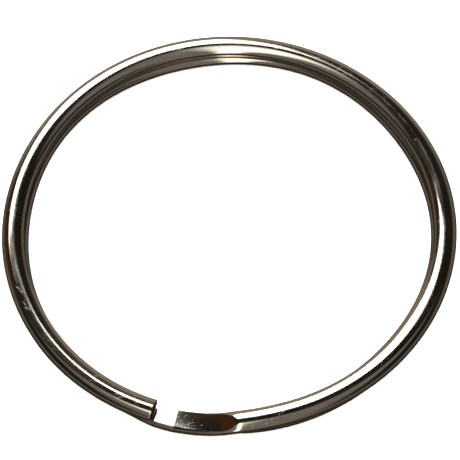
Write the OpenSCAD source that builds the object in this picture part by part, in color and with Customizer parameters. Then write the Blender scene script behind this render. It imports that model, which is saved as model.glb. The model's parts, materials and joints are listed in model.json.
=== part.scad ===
// Split key ring: one flattened spring wire coiled into two turns that lie on each other.
// The wire is drawn as lengths that meet face to face on radial planes, because the ring
// opens by every length twisting a little about the wire's own direction.
// Ring angles run anticlockwise from +X, seen from +Z. Z = 0 is the underside of the lower turn.

/* [Ring] */
// Outside diameter of the closed ring
ring_od = 32; // [25:0.5:38]
// How much smaller the lower turn's radius is
turn_step = 0.14; // [0:0.02:0.2]
// Clearance between the closed turns
turn_gap = 0.03; // [0.02:0.01:0.06]

/* [Wire] */
// Width of the wire across the ring
wire_w = 1.6; // [1.4:0.05:2]
// Thickness of the wire along the axis of the ring
wire_t = 0.8; // [0.7:0.02:0.9]
// Width of the flat along the top and the bottom of the wire
land_w = 0.12; // [0.06:0.02:0.3]
// Crown's radius, from the flat towards the sides, as a share of the wire's width
crown_ratio = 0.9; // [0.85:0.05:1.1]

/* [Crossover] */
// Ring angle of the upper turn's free end
upper_end = 249; // [247:0.5:250]
// Ring angle of the sharp crease where the wire starts to climb
crease = 254.7; // [253:0.1:256]
// Ring angle where the climb starts to level out
climb_end = 269; // [266:0.5:269.5]
// Ring angle where the wire is level again, and the lower turn's free end starts
level_start = 271.5; // [270:0.5:273]
// Depth to which the crossover's top is pressed flat, at the middle of the wire
press_depth = 0.12; // [0:0.01:0.14]
// Lean of the pressed flat towards the middle of the ring, up to the crease, in degrees
press_tilt = 6.5; // [0:0.5:10]
// How far the wire stands outwards where it passes the upper free end
cross_bulge = 0.24; // [0:0.02:0.3]

/* [Lengths] */
// Number of lengths that each turn bends in
turn_lengths = 8; // [4:1:8]
// Saw-cut clearance between two lengths
cut_gap = 0.01; // [0.005:0.005:0.02]

/* [Hidden] */
// Ring angles of the planes at which the crossover meets the lower and the upper turn
cross_start = 240;
cross_end = 292;
// Ring angles over which the pressed flat comes in and fades out
press_in = [242, 247];
press_out = [266, 271];
// Ring angles over which the outward bulge comes in and fades out
bulge_in = [241, 251];
bulge_out = [257, 283];
// Angle between two sections of the crossover
cross_step = 1.5;
// Points on each arc of the wire's section
arc_steps = 4;

upper_r = ring_od / 2 - wire_w / 2;
crown_r = wire_w * crown_ratio;
lower_r = upper_r - turn_step;
turn_pitch = wire_t + turn_gap;
lower_z = wire_t / 2;
upper_z = lower_z + turn_pitch;

lower_span = cross_start + 360 - level_start;
upper_span = upper_end + 360 - cross_end;
cut_angle = cut_gap / upper_r * 180 / PI;

turn_colour = "lightgray";
cut_end_colour = "tan";

// Names of the lengths, along the wire from the lower free end to the upper one
LOWER = concat(["lower_free_end"], [for (i = [2 : turn_lengths]) str("lower_turn_", i)]);
UPPER = concat([for (i = [1 : turn_lengths - 1]) str("upper_turn_", i)], ["upper_free_end"]);

$fn = 96;

// Points on an arc about c, from angle a0 up to but not including a1
function arc(c, r, a0, a1) = [
    for (i = [0 : arc_steps - 1])
        let (a = a0 + (a1 - a0) * i / arc_steps)
        c + r * [cos(a), sin(a)]
];

// Radius of the wire's side, which runs smoothly into the crown
function side_radius() =
    let (reach = wire_w / 2 - land_w / 2, drop = crown_r - wire_t / 2)
    (crown_r * crown_r - drop * drop - reach * reach) / 2 / (crown_r - reach);

// A quarter of the section: x is across the ring, y is up, both from the wire's centre
function quarter_section() =
    let (
        side_r = side_radius(),
        side_c = [wire_w / 2 - side_r, 0],
        crown_c = [land_w / 2, wire_t / 2 - crown_r],
        meet = atan2(side_c.y - crown_c.y, side_c.x - crown_c.x)
    )
    concat(
        arc(side_c, side_r, 0, meet),
        arc(crown_c, crown_r, meet, 90),
        [[land_w / 2, wire_t / 2]]
    );

function reversed(list) = [for (i = [len(list) - 1 : -1 : 0]) list[i]];

// The whole section, anticlockwise from the outer side of the wire
function wire_section() =
    let (
        q = quarter_section(),
        rest = [for (i = [1 : len(q) - 1]) q[i]]
    )
    concat(
        q,
        [for (p = reversed(rest)) [-p.x, p.y]],
        [for (p = q) -p],
        [for (p = reversed(rest)) [p.x, -p.y]]
    );

// Goes from 0 to 1 between a and b, and is smooth at both
function ease(x, a, b) =
    let (t = min(max((x - a) / (b - a), 0), 1))
    t * t * (3 - 2 * t);

// Height of the climbing wire's centre: straight from the crease, then a parabola to level
function climb_z(angle) =
    let (
        straight = climb_end - crease,
        curved = level_start - climb_end,
        slope = turn_pitch / (straight + curved / 2),
        left = max(level_start - max(angle, climb_end), 0)
    )
    angle < crease ? lower_z
    : angle < climb_end ? lower_z + slope * (angle - crease)
    : upper_z - slope * left * left / curved / 2;

// Comes in from 0 to 1 over one stretch of the ring and fades out over another
function swell(angle, in, out) = ease(angle, in[0], in[1]) * (1 - ease(angle, out[0], out[1]));

// Radius of the crossover's centre line: from the lower turn's to the upper turn's
function cross_r(angle) =
    lower_r
    + turn_step * ease(angle, crease, level_start)
    + cross_bulge * swell(angle, bulge_in, bulge_out);

// Height of the pressed flat above the wire's centre, clear of the section where pressed is 0
function pressed_top(x, pressed, lean) =
    wire_t / 2 - press_depth * pressed + lean * (x + wire_w / 2 * (1 - pressed));

// One section of the crossover in space
function cross_ring(angle) =
    let (
        r = cross_r(angle),
        z = climb_z(angle),
        pressed = swell(angle, press_in, press_out),
        lean = tan(press_tilt * (1 - ease(angle, crease, climb_end)))
    )
    [
        for (p = wire_section())
            let (top = pressed_top(p.x, pressed, lean))
            [(r + p.x) * cos(angle), (r + p.x) * sin(angle), z + min(p.y, top)]
    ];

// A length of one turn, cut square to the wire at both ends
module turn_length(r, z, from, span) {
    translate([0, 0, z])
        rotate([0, 0, from + cut_angle / 2])
            rotate_extrude(angle = span - cut_angle)
                translate([r, 0])
                    polygon(wire_section());
}

// Length i of the lower turn, counted from its free end
module lower_length(i) {
    span = lower_span / turn_lengths;
    color(i == 0 ? cut_end_colour : turn_colour)
        turn_length(lower_r, lower_z, level_start + i * span, span);
}

// Length i of the upper turn, counted from the crossover
module upper_length(i) {
    span = upper_span / turn_lengths;
    color(i == turn_lengths - 1 ? cut_end_colour : turn_colour)
        turn_length(upper_r, upper_z, cross_end + i * span, span);
}

// The stretch of wire that climbs from the lower turn to the upper one, past both free ends
module crossover() {
    first = cross_start + cut_angle / 2;
    last = cross_end - cut_angle / 2;
    inner = [for (a = [cross_start + cross_step : cross_step : cross_end - cross_step]) a];
    before = [for (a = inner) if (a < crease - cross_step / 4) a];
    after = [for (a = inner) if (a > crease + cross_step / 4) a];
    stations = concat([first], before, [crease], after, [last]);
    n = len(wire_section());
    m = len(stations);
    points = [for (a = stations) each cross_ring(a)];
    walls = [
        for (k = [0 : m - 2], i = [0 : n - 1])
            let (j = (i + 1) % n)
            each [
                [k * n + i, k * n + j, (k + 1) * n + j],
                [k * n + i, (k + 1) * n + j, (k + 1) * n + i]
            ]
    ];
    start_cap = reversed([for (i = [0 : n - 1]) i]);
    end_cap = [for (i = [0 : n - 1]) (m - 1) * n + i];
    color(turn_colour)
        polyhedron(points, concat(walls, [start_cap, end_cap]), convexity = 4);
}

for (i = [0 : turn_lengths - 1])
    lower_length(i);
crossover();
for (i = [0 : turn_lengths - 1])
    upper_length(i);
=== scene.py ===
# Split key ring: one flattened, nickel-plated spring wire wound into two turns.
import json
import math

import bpy
import numpy as np
from mathutils import Matrix, Vector

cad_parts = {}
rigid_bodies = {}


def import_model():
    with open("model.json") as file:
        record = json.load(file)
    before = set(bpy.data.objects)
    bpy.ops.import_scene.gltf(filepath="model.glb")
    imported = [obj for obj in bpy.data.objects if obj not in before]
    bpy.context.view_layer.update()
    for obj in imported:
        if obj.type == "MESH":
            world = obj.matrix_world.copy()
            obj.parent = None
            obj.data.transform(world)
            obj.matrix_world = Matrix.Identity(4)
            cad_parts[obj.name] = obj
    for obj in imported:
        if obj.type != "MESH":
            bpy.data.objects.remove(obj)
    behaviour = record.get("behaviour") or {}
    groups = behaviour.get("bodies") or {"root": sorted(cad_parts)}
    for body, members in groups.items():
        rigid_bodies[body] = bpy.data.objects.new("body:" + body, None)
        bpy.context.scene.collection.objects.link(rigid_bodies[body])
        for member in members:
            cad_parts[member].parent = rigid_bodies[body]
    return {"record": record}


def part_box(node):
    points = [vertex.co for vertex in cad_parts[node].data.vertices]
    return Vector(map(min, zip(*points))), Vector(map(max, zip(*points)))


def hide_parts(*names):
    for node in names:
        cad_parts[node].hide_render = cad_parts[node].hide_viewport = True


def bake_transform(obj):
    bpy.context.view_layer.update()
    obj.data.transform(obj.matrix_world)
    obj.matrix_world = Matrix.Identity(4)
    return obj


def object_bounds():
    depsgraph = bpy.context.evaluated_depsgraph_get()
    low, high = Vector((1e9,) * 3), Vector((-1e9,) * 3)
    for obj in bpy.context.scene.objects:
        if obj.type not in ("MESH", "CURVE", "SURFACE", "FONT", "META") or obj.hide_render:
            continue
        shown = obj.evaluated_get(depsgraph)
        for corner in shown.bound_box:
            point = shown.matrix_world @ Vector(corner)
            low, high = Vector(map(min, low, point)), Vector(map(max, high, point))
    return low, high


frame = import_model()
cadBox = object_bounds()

mm = 0.001
joints = frame["record"]["behaviour"]["joints"]

# Where the wire runs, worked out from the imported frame. Ring angles are in degrees,
# anticlockwise from +X. Along the wire the angle keeps growing: the lower turn, then the
# crossover, which is a full turn further on than its ring angles say, then the upper turn.
crossover = {
    "creaseAngle": 254.7,    # the sharp bend where the climb starts
    "climbEnd": 269.0,       # the climb is straight up to here
    "levelAngle": 271.5,     # level again from here on
    "bulge": 0.24 * mm,      # how far the wire stands outwards beside the upper free end
    "bulgeIn": (241, 251),
    "bulgeOut": (257, 283),
    "press": 0.12 * mm,      # how deep the tool pressed the top flat
    "pressIn": (242, 247),
    "pressOut": (266, 271),
    "pressTilt": 6.5,        # degrees by which that flat leans towards the middle of the ring
}


def jointAngle(joint):
    x, y, z = joint["pos_m"]
    return math.degrees(math.atan2(y, x)) % 360


def jointRadius(joint):
    x, y, z = joint["pos_m"]
    return math.hypot(x, y)


# angle along the wire of every hinge: each one lies further round than the one before it
hingeAngles = []
for joint in joints:
    angle = jointAngle(joint)
    while angle < (hingeAngles[-1] if hingeAngles else crossover["levelAngle"]):
        angle += 360
    hingeAngles.append(angle)

lowerRadius, upperRadius = jointRadius(joints[0]), jointRadius(joints[-1])
lowerZ, upperZ = joints[0]["pos_m"][2], joints[-1]["pos_m"][2]
lowEnd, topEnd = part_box("lower_turn_2")
wireThick = topEnd[2] - lowEnd[2]
wireWide = 2 * (float(cadBox[1][1]) - upperRadius)
startAngle = crossover["levelAngle"]
endAngle = 2 * hingeAngles[-1] - hingeAngles[-2]    # the last length is as long as the one before it
print("wire", round(wireWide / mm, 3), "x", round(wireThick / mm, 3), "mm; hinges", len(hingeAngles))


def ease(x, a, b):
    # 0 before a, 1 after b, a smooth cubic between
    t = np.clip((x - a) / (b - a), 0, 1)
    return t * t * (3 - 2 * t)


def swell(x, rise, fall):
    # comes in over one stretch and fades out over another
    return ease(x, *rise) * (1 - ease(x, *fall))


wobble = {
    "upper": (0.05 * mm, 3, 108),    # depth, waves in a turn, ring angle of a crest
    "lower": (0.08 * mm, 5, 65),
    "tuck": 0.14 * mm,               # how far the lower free end sits further in
    "tuckOut": (285, 350),           # where along the wire it comes back out
}


def outOfRound(radius, wave, angle):
    # the radius, less a cosine with a few waves in a turn, which only draws it inwards
    depth, waves, crest = wave
    return radius + depth * (np.cos(np.radians(waves * (angle - crest))) - 1)


def wireRadius(angle):
    # the lower turn's radius passes into the upper turn's across the climb, with the bulge on top
    c = crossover
    onRing = angle - 360
    change = ease(onRing, c["creaseAngle"], c["levelAngle"])
    bulge = c["bulge"] * swell(onRing, c["bulgeIn"], c["bulgeOut"])
    tuck = wobble["tuck"] * (1 - ease(angle, *wobble["tuckOut"]))
    lower = outOfRound(lowerRadius, wobble["lower"], angle) - tuck
    upper = outOfRound(upperRadius, wobble["upper"], angle)
    return lower * (1 - change) + upper * change + bulge


def wireHeight(angle):
    # level, then straight up from the crease, then a parabola that levels out
    c = crossover
    onRing = angle - 360
    straight = c["climbEnd"] - c["creaseAngle"]
    curved = c["levelAngle"] - c["climbEnd"]
    slope = (upperZ - lowerZ) / (straight + curved / 2)
    left = np.clip(c["levelAngle"] - np.maximum(onRing, c["climbEnd"]), 0, None)
    climbing = np.where(onRing < c["climbEnd"], lowerZ + slope * (onRing - c["creaseAngle"]),
                        upperZ - slope * left * left / curved / 2)
    return np.where(onRing < c["creaseAngle"], lowerZ, climbing)


def pressedTop(angle, across):
    # a plane that comes down onto the wire and leans inwards: the wire's top, less the depth, plus
    # the slope times the way across. Where nothing is pressed it is clear of the wire
    c = crossover
    onRing = angle - 360
    pressed = swell(onRing, c["pressIn"], c["pressOut"])
    tilt = np.radians(c["pressTilt"]) * (1 - ease(onRing, c["creaseAngle"], c["climbEnd"]))
    return (wireThick / 2 - c["press"] * pressed
            + np.tan(tilt) * (across + wireWide / 2 * (1 - pressed)))


section = {
    "land": 0.12 * mm,       # flat along the top and the bottom
    "crown": 1.44 * mm,      # radius from the flat towards the sides
    "lean": 0.3,             # how far the crown leans outwards, as a share of the height
    "pointsPerArc": 22,
    "pointsOnLand": 5,
}


def wireSection():
    # flat, crown arc and side arc meet tangentially; one quarter is mirrored twice.
    # Returned as two arrays, across the ring and up, anticlockwise from the outer side
    land, crown, n = section["land"] / 2, section["crown"], section["pointsPerArc"]
    reach, drop = wireWide / 2 - land, crown - wireThick / 2
    side = (crown ** 2 - drop ** 2 - reach ** 2) / 2 / (crown - reach)
    meet = math.atan2(drop, wireWide / 2 - side - land)
    sideAngles = np.linspace(0, meet, n, endpoint=False)
    crownAngles = np.linspace(meet, math.pi / 2, n, endpoint=False)
    flat = np.linspace(land, 0, section["pointsOnLand"])
    x = np.concatenate([wireWide / 2 - side + side * np.cos(sideAngles),
                        land + crown * np.cos(crownAngles), flat])
    z = np.concatenate([side * np.sin(sideAngles),
                        -drop + crown * np.sin(crownAngles), np.full(flat.shape, wireThick / 2)])
    halfX = np.concatenate([x, -x[-2::-1]])
    halfZ = np.concatenate([z, z[-2::-1]])
    wholeX = np.concatenate([halfX, -halfX[1:-1]])
    wholeZ = np.concatenate([halfZ, -halfZ[1:-1]])
    fade = 1 - (wholeX / (wireWide / 2)) ** 2
    return wholeX + section["lean"] * wholeZ * fade, wholeZ


pieceShape = {
    "step": 0.4,             # degrees between two rings
    "bevel": 0.05 * mm,      # rounded rim of a cut end
    "bevelRings": 5,
    "bendHalf": 8.0,         # degrees on each side of a hinge over which a piece bends
    "tongue": 0.03 * mm,     # how far a piece reaches into the next one, and how far below its skin
    "tongueDrop": 0.004 * mm,
    "pressedFade": 0.02 * mm,    # depth below the unpressed wire at which the press marks are full
}


def wireGrid(angles, grow, lengthwise):
    # one ring of points for every angle: the section stands on the radial plane at that angle.
    # grow draws a ring in towards its middle, lengthwise moves it along the wire (both in metres)
    sx, sz = wireSection()
    shrink = 1 - grow[:, None] / np.hypot(sx, sz)[None, :]
    across = sx[None, :] * shrink
    up = np.minimum(sz[None, :], pressedTop(angles[:, None], sx[None, :])) * shrink
    radius = wireRadius(angles)[:, None]
    turn = np.radians(angles)[:, None] + lengthwise[:, None] / radius
    points = np.stack([(radius + across) * np.cos(turn), (radius + across) * np.sin(turn),
                       wireHeight(angles)[:, None] + up], axis=-1)
    along = np.radians(angles)[:, None] * upperRadius + lengthwise[:, None]
    place = np.stack([np.broadcast_to(along, across.shape), across, up], axis=-1)
    pressed = np.clip((sz[None, :] * shrink - up) / pieceShape["pressedFade"], 0, 1)
    return points, place, pressed


def storeVectors(mesh, name, values):
    spots = mesh.attributes.new(name, "FLOAT_VECTOR", "POINT")
    spots.data.foreach_set("vector", values.astype(np.float32).ravel())


def meshFromGrid(name, points, place, pressed, cutRings, sharpRings):
    # quads round the wire, and a fan to a middle point at each end
    m, n = points.shape[:2]
    verts = np.concatenate([points.reshape(-1, 3), points[[0, -1]].mean(axis=1)])
    i, j = np.meshgrid(np.arange(m - 1), np.arange(n), indexing="ij")
    k = (j + 1) % n
    quads = np.stack([i * n + k, (i + 1) * n + k, (i + 1) * n + j, i * n + j], axis=-1).reshape(-1, 4)
    r = np.arange(n)
    first = np.stack([np.full(n, m * n), r, (r + 1) % n], axis=-1)
    last = np.stack([np.full(n, m * n + 1), (m - 1) * n + (r + 1) % n, (m - 1) * n + r], axis=-1)
    mesh = bpy.data.meshes.new(name)
    mesh.from_pydata(verts.tolist(), [], quads.tolist() + first.tolist() + last.tolist())

    # smooth all round, flat at the ends, with the rings round the ends kept sharp
    smooth = np.ones(len(mesh.polygons), bool)
    smooth[len(quads):] = False
    mesh.polygons.foreach_set("use_smooth", smooth)
    edges = np.empty(len(mesh.edges) * 2, int)
    mesh.edges.foreach_get("vertices", edges)
    ringOf = edges.reshape(-1, 2) // n
    sharp = (ringOf[:, 0] == ringOf[:, 1]) & np.isin(ringOf[:, 0], sharpRings)
    mesh.attributes.new("sharp_edge", "BOOLEAN", "EDGE").data.foreach_set("value", sharp)

    # wirePlace is the place along, across and up the wire. wireMarks is 1 in x where the tool
    # pressed the wire, and 1 in y on the cut face of a free end
    storeVectors(mesh, "wirePlace", np.concatenate([place.reshape(-1, 3), place[[0, -1]].mean(axis=1)]))
    marks = np.zeros((len(verts), 3))
    marks[:m * n, 0] = pressed.ravel()
    marks[:m * n, 1] = np.repeat(np.isin(np.arange(m), cutRings), n)
    marks[m * n:, 1] = 0 in cutRings, m - 1 in cutRings
    storeVectors(mesh, "wireMarks", marks)
    mesh.update()
    piece = bpy.data.objects.new(name, mesh)
    bpy.context.scene.collection.objects.link(piece)
    return piece


def wirePiece(name, fromAngle, toAngle, cutStart, cutEnd):
    # a stretch of wire: a cut end has a rim rounded by a quarter circle, and the far end of any
    # other piece has a small tongue that slips inside the next piece
    shape = pieceShape
    count = max(int(round((toAngle - fromAngle) / shape["step"])), 2) + 1
    angles = np.linspace(fromAngle, toAngle, count)
    grow, lengthwise = np.zeros(count), np.zeros(count)
    quarter = np.linspace(0, math.pi / 2, shape["bevelRings"])
    rimGrow = shape["bevel"] * (1 - np.cos(quarter))
    rimBack = shape["bevel"] * (1 - np.sin(quarter))
    sharp, cut = [0], []
    if cutStart:
        angles = np.concatenate([np.full(len(quarter), fromAngle), angles[1:]])
        grow = np.concatenate([rimGrow[::-1], grow[1:]])
        lengthwise = np.concatenate([rimBack[::-1], lengthwise[1:]])
        cut += [0, 1]
    if cutEnd:
        angles = np.concatenate([angles[:-1], np.full(len(quarter), toAngle)])
        grow = np.concatenate([grow[:-1], rimGrow])
        lengthwise = np.concatenate([lengthwise[:-1], -rimBack])
        sharp.append(len(angles) - 1)
        cut += [len(angles) - 1, len(angles) - 2]
    else:
        angles = np.concatenate([angles, [toAngle, toAngle]])
        grow = np.concatenate([grow, [shape["tongueDrop"]] * 2])
        lengthwise = np.concatenate([lengthwise, [0, shape["tongue"]]])
        sharp += [len(angles) - 3, len(angles) - 2, len(angles) - 1]
    points, place, pressed = wireGrid(angles, grow, lengthwise)
    return meshFromGrid(name, points, place, pressed, cut, sharp)


def feed(tree, socket, value):
    # a number, a direction or a colour is set on the socket, and an output is linked to it
    if isinstance(value, bpy.types.NodeSocket):
        tree.links.new(value, socket)
    elif socket.type == "RGBA":
        socket.default_value = (*value, 1)
    else:
        socket.default_value = value


def addNode(tree, kind, inputs=None, **settings):
    made = tree.nodes.new(kind)
    for key, value in settings.items():
        setattr(made, key, value)
    for key, value in (inputs or {}).items():
        feed(tree, made.inputs[key], value)
    return made


def maths(tree, operation, a, b=0.0):
    return addNode(tree, "ShaderNodeMath", {0: a, 1: b}, operation=operation).outputs["Value"]


def mixed(tree, factor, a, b):
    # colour a where the factor is 0, colour b where it is 1
    made = addNode(tree, "ShaderNodeMix", data_type="RGBA")
    colours = [socket for socket in made.inputs if socket.type == "RGBA"]
    for socket, value in ((made.inputs[0], factor), (colours[0], a), (colours[1], b)):
        feed(tree, socket, value)
    return next(socket for socket in made.outputs if socket.type == "RGBA")


def ramp(tree, value, a, b, outA=0.0, outB=1.0, kind="LINEAR"):
    # outA up to a, outB from b on, a straight or a smooth change between
    made = addNode(tree, "ShaderNodeMapRange", {
        "Value": value, "From Min": a, "From Max": b, "To Min": outA, "To Max": outB,
    }, interpolation_type=kind)
    return made.outputs["Result"]


# Nickel plate on drawn spring wire. Patterns are laid out along, across and up the wire, and their
# sizes are noise cells in a metre. Four numbers are the noise from and to which something grows,
# and what it is worth at both
plate = {
    "bright": (0.82, 0.785, 0.72),
    "tarnished": (0.62, 0.555, 0.46),
    "steel": (0.115, 0.080, 0.050),          # bare, oxidised steel on the cut faces
    "roughness": (0.045, 0.10),              # of the least and the most worn plate
    "clouds": 260,                           # clouds of tarnish and of wear, about 4 mm across
    "cloudDetail": 3.0,
    "cloudTarnish": (0.50, 0.75, 0, 0.45),
    "cloudWear": (0.35, 0.65),
    "lines": (90, 15000, 15000),             # drawing lines: long, and about 0.07 mm wide
    "lineDetail": 3.0,
    "lineTarnish": (0.55, 0.72, 0, 0.20),
    "lineWear": (0.45, 0.65, 0, 0.03),
    "lineDepth": 0.0012 * mm,
    "scratches": (700, 26000, 26000),        # handling scratches
    "scratchDetail": 1.0,
    "scratchTurn": 24,                       # degrees by which they run askew
    "scratchFrom": (0.70, 0.76),
    "scratchWear": 0.06,
    "scratchDepth": 0.0007 * mm,
    "pits": 3200,
    "pitSize": (0.04, 0.12),                 # as shares of a cell: full up to one, gone at the other
    "pitPatch": 9,                           # a patch with pits is this many cells wide
    "pitPatchFrom": (0.64, 0.70),
    "pitTarnish": 0.7,
    "pitDepth": 0.004 * mm,
    "toolMarks": (11000, 900, 900),          # the press leaves marks across the wire
    "toolDetail": 2.0,
    "toolDepth": 0.0005 * mm,
    "shearMarks": (500, 16000, 1200),        # the cutter leaves upright marks on the cut face
    "shearDetail": 3.0,
    "shearWear": (0.3, 0.7, 0.20, 0.45),
    "shearDepth": 0.010 * mm,
}


def nickelPlate():
    # Colour: bright to tarnished by clouds + lines + pits, then bare steel on the cut faces.
    # Roughness: worn by clouds + scratches + lines + shear marks. Bumps: all the marks in turn
    mat = bpy.data.materials.new("nickelPlate")
    mat.use_nodes = True
    tree = mat.node_tree
    shader = tree.nodes["Principled BSDF"]
    shader.inputs["Metallic"].default_value = 1.0

    def attribute(name):
        return addNode(tree, "ShaderNodeAttribute", attribute_name=name).outputs["Vector"]

    def noise(vector, scale, detail):
        made = addNode(tree, "ShaderNodeTexNoise", {"Vector": vector, "Scale": scale, "Detail": detail})
        return made.outputs["Fac"]

    def stretchedNoise(vector, scale, detail, turn=0):
        # the pattern is turned first, then stretched along the wire
        if turn:
            turned = {"Vector": vector, "Rotation": (0, 0, math.radians(turn))}
            vector = addNode(tree, "ShaderNodeMapping", turned).outputs["Vector"]
        made = addNode(tree, "ShaderNodeMapping", {"Vector": vector, "Scale": scale})
        return noise(made.outputs["Vector"], 1.0, detail)

    def times(a, b):
        return maths(tree, "MULTIPLY", a, b)

    def added(first, *others):
        for other in others:
            first = maths(tree, "ADD", first, other)
        return first

    def bump(height, depth, under=None):
        inputs = {"Strength": 1.0, "Distance": depth, "Height": height}
        if under is not None:
            inputs["Normal"] = under
        return addNode(tree, "ShaderNodeBump", inputs).outputs["Normal"]

    place = attribute("wirePlace")
    marks = addNode(tree, "ShaderNodeSeparateXYZ", {0: attribute("wireMarks")})
    pressed, cut = marks.outputs[0], marks.outputs[1]
    plain = maths(tree, "SUBTRACT", 1, cut)

    lines = stretchedNoise(place, plate["lines"], plate["lineDetail"])
    scratches = stretchedNoise(place, plate["scratches"], plate["scratchDetail"], plate["scratchTurn"])
    scratches = ramp(tree, scratches, *plate["scratchFrom"])
    clouds = noise(place, plate["clouds"], plate["cloudDetail"])
    toolMarks = stretchedNoise(place, plate["toolMarks"], plate["toolDetail"])
    shearMarks = stretchedNoise(place, plate["shearMarks"], plate["shearDetail"])
    cells = addNode(tree, "ShaderNodeTexVoronoi", {"Vector": place, "Scale": plate["pits"]})
    pits = ramp(tree, cells.outputs["Distance"], *plate["pitSize"], 1, 0)
    patches = noise(place, plate["pits"] / plate["pitPatch"], 1.0)
    pits = times(pits, ramp(tree, patches, *plate["pitPatchFrom"]))

    tarnish = added(ramp(tree, clouds, *plate["cloudTarnish"]),
                    ramp(tree, lines, *plate["lineTarnish"]),
                    times(pits, plate["pitTarnish"]))
    colour = mixed(tree, tarnish, plate["bright"], plate["tarnished"])
    colour = mixed(tree, cut, colour, plate["steel"])
    feed(tree, shader.inputs["Base Color"], colour)

    wear = added(ramp(tree, clouds, *plate["cloudWear"], *plate["roughness"]),
                 times(scratches, plate["scratchWear"]),
                 ramp(tree, lines, *plate["lineWear"]),
                 times(cut, ramp(tree, shearMarks, *plate["shearWear"])))
    feed(tree, shader.inputs["Roughness"], wear)

    # scratches and pits go into the metal, so their heights are negative
    normal = bump(times(lines, plain), plate["lineDepth"])
    normal = bump(times(scratches, times(plain, -1)), plate["scratchDepth"], normal)
    normal = bump(times(pits, -1), plate["pitDepth"], normal)
    normal = bump(times(toolMarks, pressed), plate["toolDepth"], normal)
    normal = bump(times(shearMarks, cut), plate["shearDepth"], normal)
    feed(tree, shader.inputs["Normal"], normal)
    return mat


nickel = nickelPlate()
print("nickel plate made")

# Pieces meet halfway between two hinges, except inside the crossover, where they meet at the crease
meetings = [startAngle]
for a, b in zip(hingeAngles[:-1], hingeAngles[1:]):
    meetings.append((a + b) / 2)
meetings.append(endAngle)
toCrossover = [joint["child"] for joint in joints].index("crossover")
meetings[toCrossover + 1] = crossover["creaseAngle"] + 360

for i, joint in enumerate(joints):
    isFirst, isLast = i == 0, i == len(joints) - 1
    turnName = "lower" if i < len(joints) // 2 else "upper"
    piece = wirePiece(f"{turnName}_wire_{i + 1}", meetings[i], meetings[i + 1], isFirst, isLast)
    piece.data.materials.append(nickel)
    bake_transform(piece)
    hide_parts(joint["parent"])
    if isLast:
        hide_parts(joint["child"])
print("wire pieces made:", len(joints))

middle = Vector((0, 0, (lowerZ + upperZ) / 2))


def towards(azimuth, elevation):
    # unit vector to a place round the ring: azimuth 0 is the camera's side (-Y), 90 is +X
    a, e = math.radians(azimuth), math.radians(elevation)
    return Vector((math.sin(a) * math.cos(e), -math.cos(a) * math.cos(e), math.sin(e)))


# Soft lights that face the ring from half a metre away
lightDistance = 0.5
softboxes = {
    "topBox": {"azimuth": 191, "elevation": 48.5, "wide": 0.155, "high": 0.185,
               "power": 0.27, "colour": (1, 0.985, 0.93), "inGloss": True},
    "roomFill": {"azimuth": 0, "elevation": 90, "wide": 1.5, "high": 1.5,
                 "power": 30.0, "colour": (1, 1, 1), "inGloss": False},
}


def softbox(name, shape):
    light = bpy.data.lights.new(name, "AREA")
    light.shape = "RECTANGLE"
    light.size, light.size_y = shape["wide"], shape["high"]
    light.energy, light.color = shape["power"], shape["colour"]
    box = bpy.data.objects.new(name, light)
    away = towards(shape["azimuth"], shape["elevation"])
    box.location = middle + away * lightDistance
    box.rotation_euler = away.to_track_quat("Z", "Y").to_euler()
    box.visible_glossy = shape["inGloss"]
    bpy.context.scene.collection.objects.link(box)


for name, shape in softboxes.items():
    softbox(name, shape)

# The room as the bright metal mirrors it. x, y and z are the parts of a unit vector into the room:
# x to the right, y away from the camera, z up. Two numbers are where a change starts and ends
room = {
    "low": (0.110, 0.099, 0.083),      # walls, seen in the sides of the wire
    "high": (0.012, 0.0085, 0.006),    # the dark ceiling
    "turnsDark": (0.54, 0.76),         # z between which it darkens
    "under": (0.035, 0.028, 0.020),    # the table's shaded side
    "turnsUnder": (-0.25, 0.10),
    "front": (0.165, 0.145, 0.125),    # the grey half of the room on the camera's side
    "frontFade": (0.24, 0.38),         # y over which it fades
    "frontWide": (0.28, 0.48),         # and how far to the sides
    "wood": (0.050, 0.018, 0.005),     # a warm brown thing to the left, behind
    "woodTowards": (229, 43),          # its azimuth and elevation
    "woodSpread": (0.965, 0.99),       # cosine of the angle from there
    "backWall": (0.27, 0.215, 0.165),  # the pale wall behind the ring
    "backSpread": (0.62, 0.85),        # y over which it comes in
    "strip": (2.0, 1.88, 1.68),        # a long light overhead, from the camera's side to the back
    "stripMiddle": -0.065,             # its x, its half width and its soft edge
    "stripHalf": 0.04,
    "stripSoft": 0.08,
    "stripBottom": (0.05, 0.2),        # z over which its near end comes in
    "stripBack": (0.18, 0.35),         # y over which its far end fades
}


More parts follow.
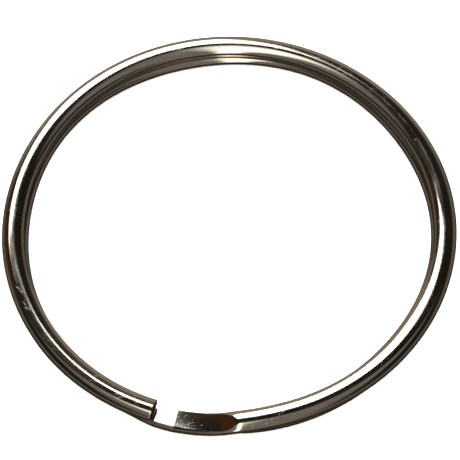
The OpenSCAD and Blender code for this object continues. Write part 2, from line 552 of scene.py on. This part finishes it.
def roomLight():
    # the surroundings as a function of direction: grey below, dark above and in shade underneath,
    # then the grey front, the brown thing, the pale wall and the strip light over one another
    world = bpy.data.worlds.new("room")
    bpy.context.scene.world = world
    world.use_nodes = True
    tree = world.node_tree

    def smooth(value, limits, outA, outB):
        return ramp(tree, value, *limits, outA, outB, kind="SMOOTHSTEP")

    def times(first, *others):
        for other in others:
            first = maths(tree, "MULTIPLY", first, other)
        return first

    direction = addNode(tree, "ShaderNodeTexCoord").outputs["Generated"]
    x, y, z = addNode(tree, "ShaderNodeSeparateXYZ", {0: direction}).outputs
    aboveTable = smooth(z, room["turnsUnder"], 0, 1)
    belowCeiling = smooth(z, room["turnsDark"], 1, 0)

    isHigh = smooth(z, room["turnsDark"], 0, 1)
    colour = mixed(tree, isHigh, room["low"], room["high"])
    colour = mixed(tree, smooth(z, room["turnsUnder"], 1, 0), colour, room["under"])

    aside = maths(tree, "ABSOLUTE", x)
    isFront = times(smooth(y, room["frontFade"], 1, 0), aboveTable,
                    smooth(aside, room["frontWide"], 1, 0))
    colour = mixed(tree, isFront, colour, room["front"])

    # cosine of the angle from the brown thing: the dot product of two unit vectors
    wood = towards(*room["woodTowards"])
    facing = maths(tree, "ADD", times(x, wood.x), times(y, wood.y))
    facing = maths(tree, "ADD", facing, times(z, wood.z))
    colour = mixed(tree, smooth(facing, room["woodSpread"], 0, 1), colour, room["wood"])

    isBack = times(smooth(y, room["backSpread"], 0, 1), belowCeiling)
    colour = mixed(tree, isBack, colour, room["backWall"])

    offset = maths(tree, "ABSOLUTE", maths(tree, "SUBTRACT", x, room["stripMiddle"]))
    inWidth = smooth(offset, (room["stripHalf"], room["stripHalf"] + room["stripSoft"]), 1, 0)
    inLength = times(smooth(z, room["stripBottom"], 0, 1), smooth(y, room["stripBack"], 1, 0))
    colour = mixed(tree, times(inWidth, inLength), colour, room["strip"])
    feed(tree, tree.nodes["Background"].inputs["Color"], colour)


roomLight()
print("room lit")

table = {
    "size": 4,
    "drop": 0.02 * mm,       # clearance under the ring
    "paper": (0.9, 0.9, 0.89),
    "roughness": 0.9,
}

bpy.ops.mesh.primitive_plane_add(size=table["size"], location=(0, 0, -table["drop"]))
floor = bpy.context.active_object
floor.name = "floor"
paper = bpy.data.materials.new("paper")
paper.use_nodes = True
paperShader = paper.node_tree.nodes["Principled BSDF"]
paperShader.inputs["Base Color"].default_value = (*table["paper"], 1)
paperShader.inputs["Roughness"].default_value = table["roughness"]
floor.data.materials.append(paper)
floor.visible_glossy = False

view = {
    "elevation": 60.25,
    "roll": 2.23,            # degrees by which the camera is turned about its own axis
    "distance": 128 * mm,
    "lens": 142.2,
    "right": 0.115 * mm,     # how far beside and below the ring's middle the camera aims
    "down": 0.307 * mm,
    "clipStart": 1 * mm,
}

# the camera's own right and up, turned by the roll
back = towards(0, view["elevation"])
right = Vector((1, 0, 0))
up = back.cross(right)
roll = math.radians(view["roll"])
camRight = right * math.cos(roll) - up * math.sin(roll)
camUp = right * math.sin(roll) + up * math.cos(roll)

camera = bpy.data.objects.new("camera", bpy.data.cameras.new("camera"))
camera.data.lens = view["lens"]
camera.data.clip_start = view["clipStart"]
aim = middle + camRight * view["right"] - camUp * view["down"]
turn = Matrix((camRight, camUp, back)).transposed()
camera.matrix_world = Matrix.Translation(aim + back * view["distance"]) @ turn.to_4x4()
bpy.context.scene.collection.objects.link(camera)
bpy.context.scene.camera = camera
bpy.context.scene.view_settings.view_transform = "Standard"
print("scene set")
